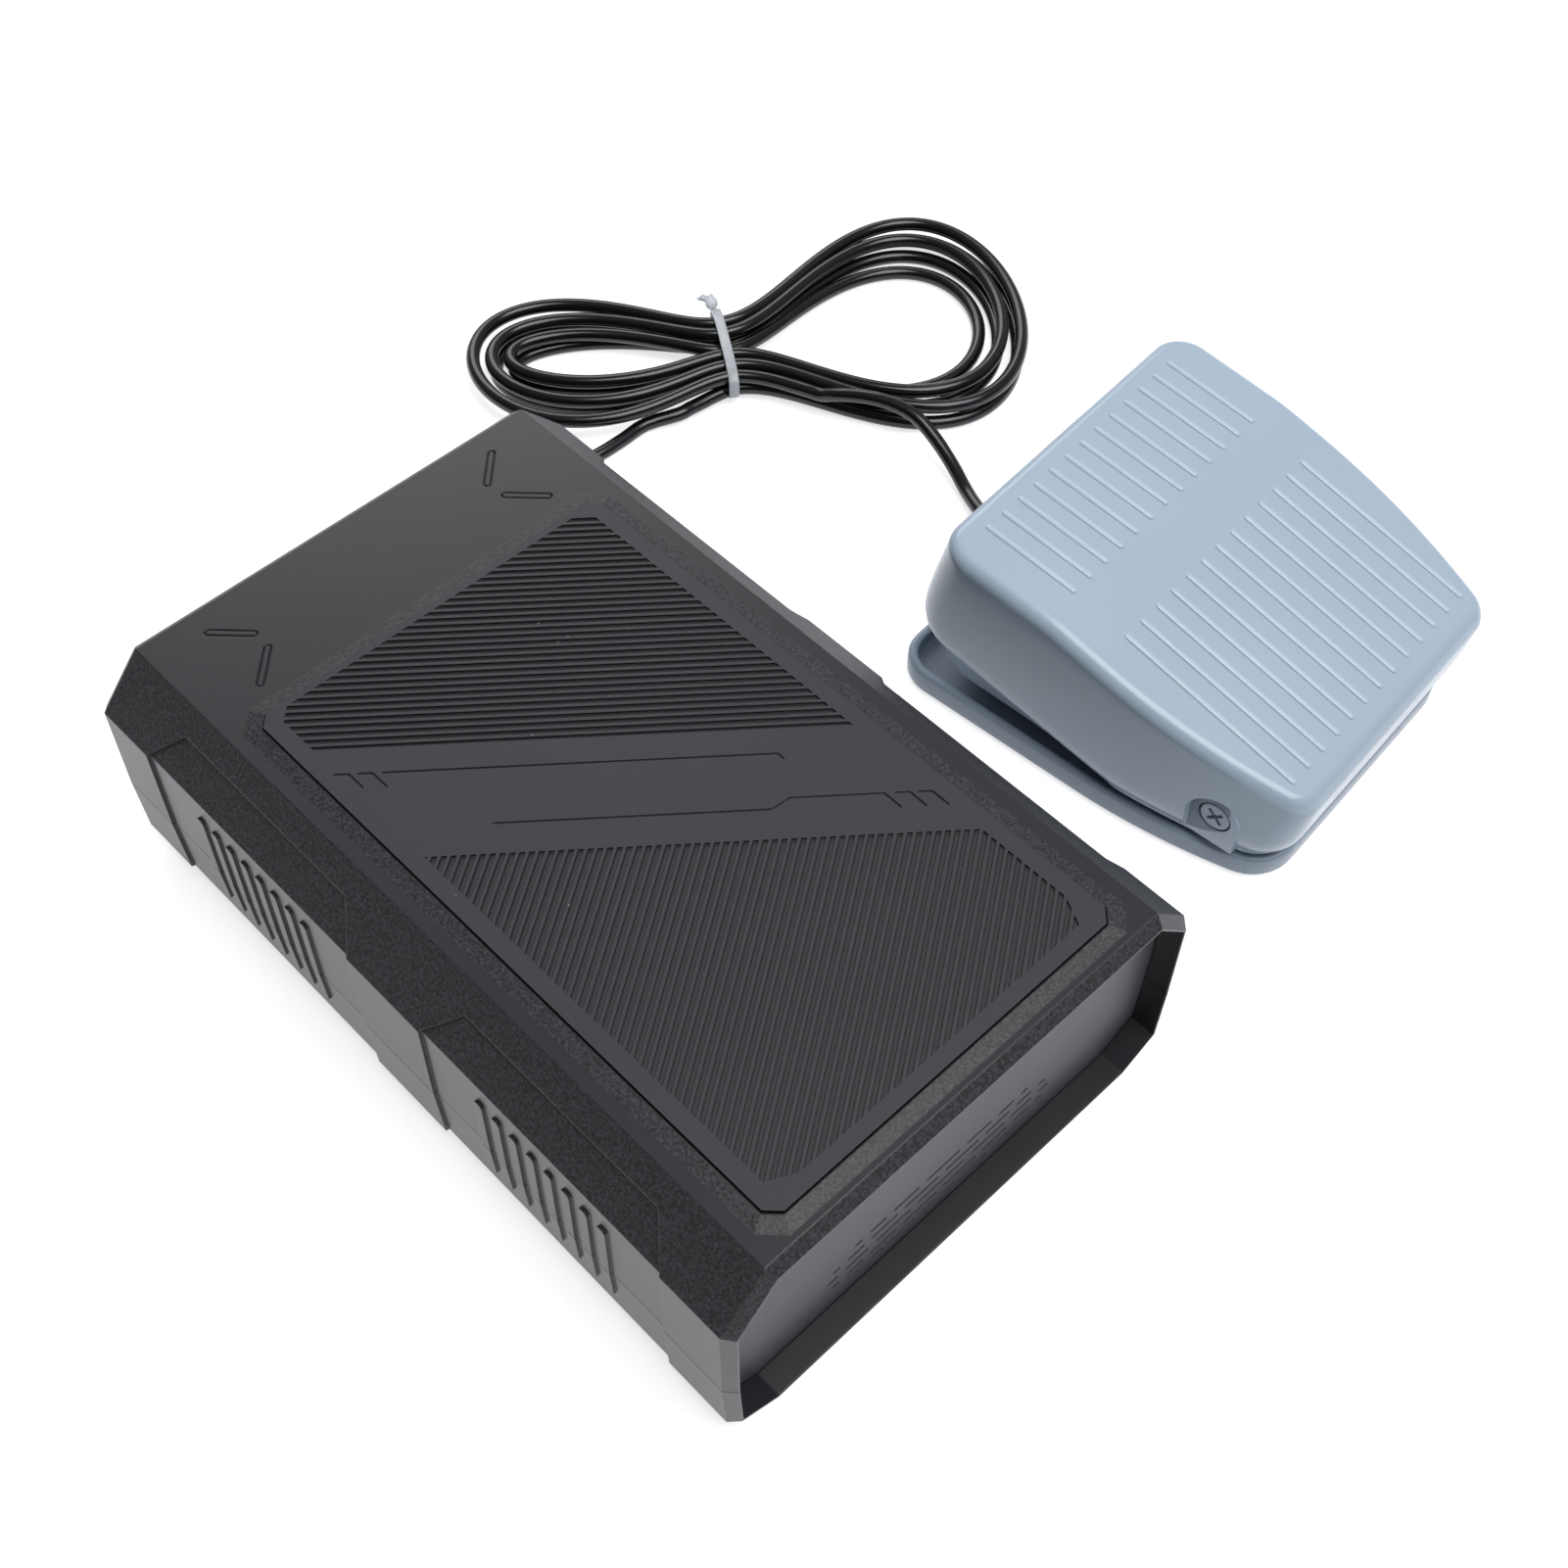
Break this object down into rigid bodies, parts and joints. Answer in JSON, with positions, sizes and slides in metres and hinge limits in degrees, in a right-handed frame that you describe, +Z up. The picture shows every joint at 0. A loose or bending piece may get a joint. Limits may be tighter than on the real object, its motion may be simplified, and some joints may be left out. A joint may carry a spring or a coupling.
{
  "type": "foot switch with control box",
  "caption": "Hinged foot pedal on a coiled, tied lead from a vented control box with a grooved top mat.",
  "frame": {"origin": "middle of the floor area that the box and the pedal, with their glands, cover together; the coiled lead lies outside it", "axes": "X runs along the box from its rear to its ported front and along the pedal from its high rear to its low front, Y from the box to the pedal, Z up"},
  "size_m": [0.2739, 0.2886, 0.0621],
  "materials": {
    "shell_plastic": "fine-grained moulding",
    "mat": "satin, grooved",
    "plate_plastic": "satin",
    "cover_plastic": "satin gloss",
    "base_plastic": "satin gloss",
    "pin_plastic": "satin",
    "switch_plastic": "moulded",
    "plunger_plastic": "moulded",
    "terminal_plastic": "moulded",
    "tray_plastic": "moulded",
    "cell_wrap": "shrink sleeve",
    "sleeve": "shrink sleeve",
    "board": "coated laminate",
    "cord": "satin",
    "foot_rubber": "matt",
    "tie_nylon": "translucent nylon",
    "steel": "plated",
    "aluminium": "extruded",
    "brass": "plain"
  },
  "bodies": {
    "root": {"bottom_shell": "shell_plastic", "top_shell": "shell_plastic", "top_mat": "mat", "vent_plate": "plate_plastic", "rear_plate": "plate_plastic", "usb_socket": "steel", "usb_board": "board", "control_board": "board", "board_standoffs": "brass", "board_capacitors": "sleeve", "heat_sink": "aluminium", "terminal_block": "terminal_plastic", "battery_tray": "tray_plastic", "battery_cells": "cell_wrap", "box_leads": "cord", "shell_screws": "steel", "box_feet": "foot_rubber", "box_gland": "foot_rubber", "pedal_base": "base_plastic", "hinge_pins": "pin_plastic", "return_spring": "steel", "switch_body": "switch_plastic", "switch_terminals": "brass", "switch_screws": "steel", "switch_leads": "cord", "cord_clamp": "tray_plastic", "clamp_screws": "steel", "pedal_gland": "foot_rubber", "pedal_feet": "foot_rubber", "box_lead": "cord", "cord_hank": "cord", "pedal_lead": "cord", "cable_tie": "tie_nylon"},
    "cover": {"pedal_cover": "cover_plastic"},
    "lever": {"switch_lever": "steel"},
    "plunger": {"switch_plunger": "plunger_plastic"}
  },
  "joints": [
    {"name": "pedal_press", "type": "hinge", "parent": "root", "child": "cover", "pos_m": [0.07484, 0.08417, 0.019], "axis": [0.0915, -0.9958, 0], "range_deg": [0, 4.5], "stiffness_Nm_per_rad": 2, "springref_deg": -2.86, "deforming": ["return_spring"]},
    {"name": "lever_tilt", "type": "hinge", "parent": "root", "child": "lever", "pos_m": [0.05681, 0.08251, 0.02165], "axis": [0.0915, -0.9958, 0], "range_deg": [0, 8.2]},
    {"name": "plunger_slide", "type": "slide", "parent": "root", "child": "plunger", "axis": [0, 0, -1], "range_m": [0, 0.00101]}
  ],
  "couplings": [
    {"joint": "lever_tilt", "follows": "pedal_press", "ratio": 1.8},
    {"joint": "plunger_slide", "follows": "pedal_press", "m_per_rad": 0.01273}
  ]
}
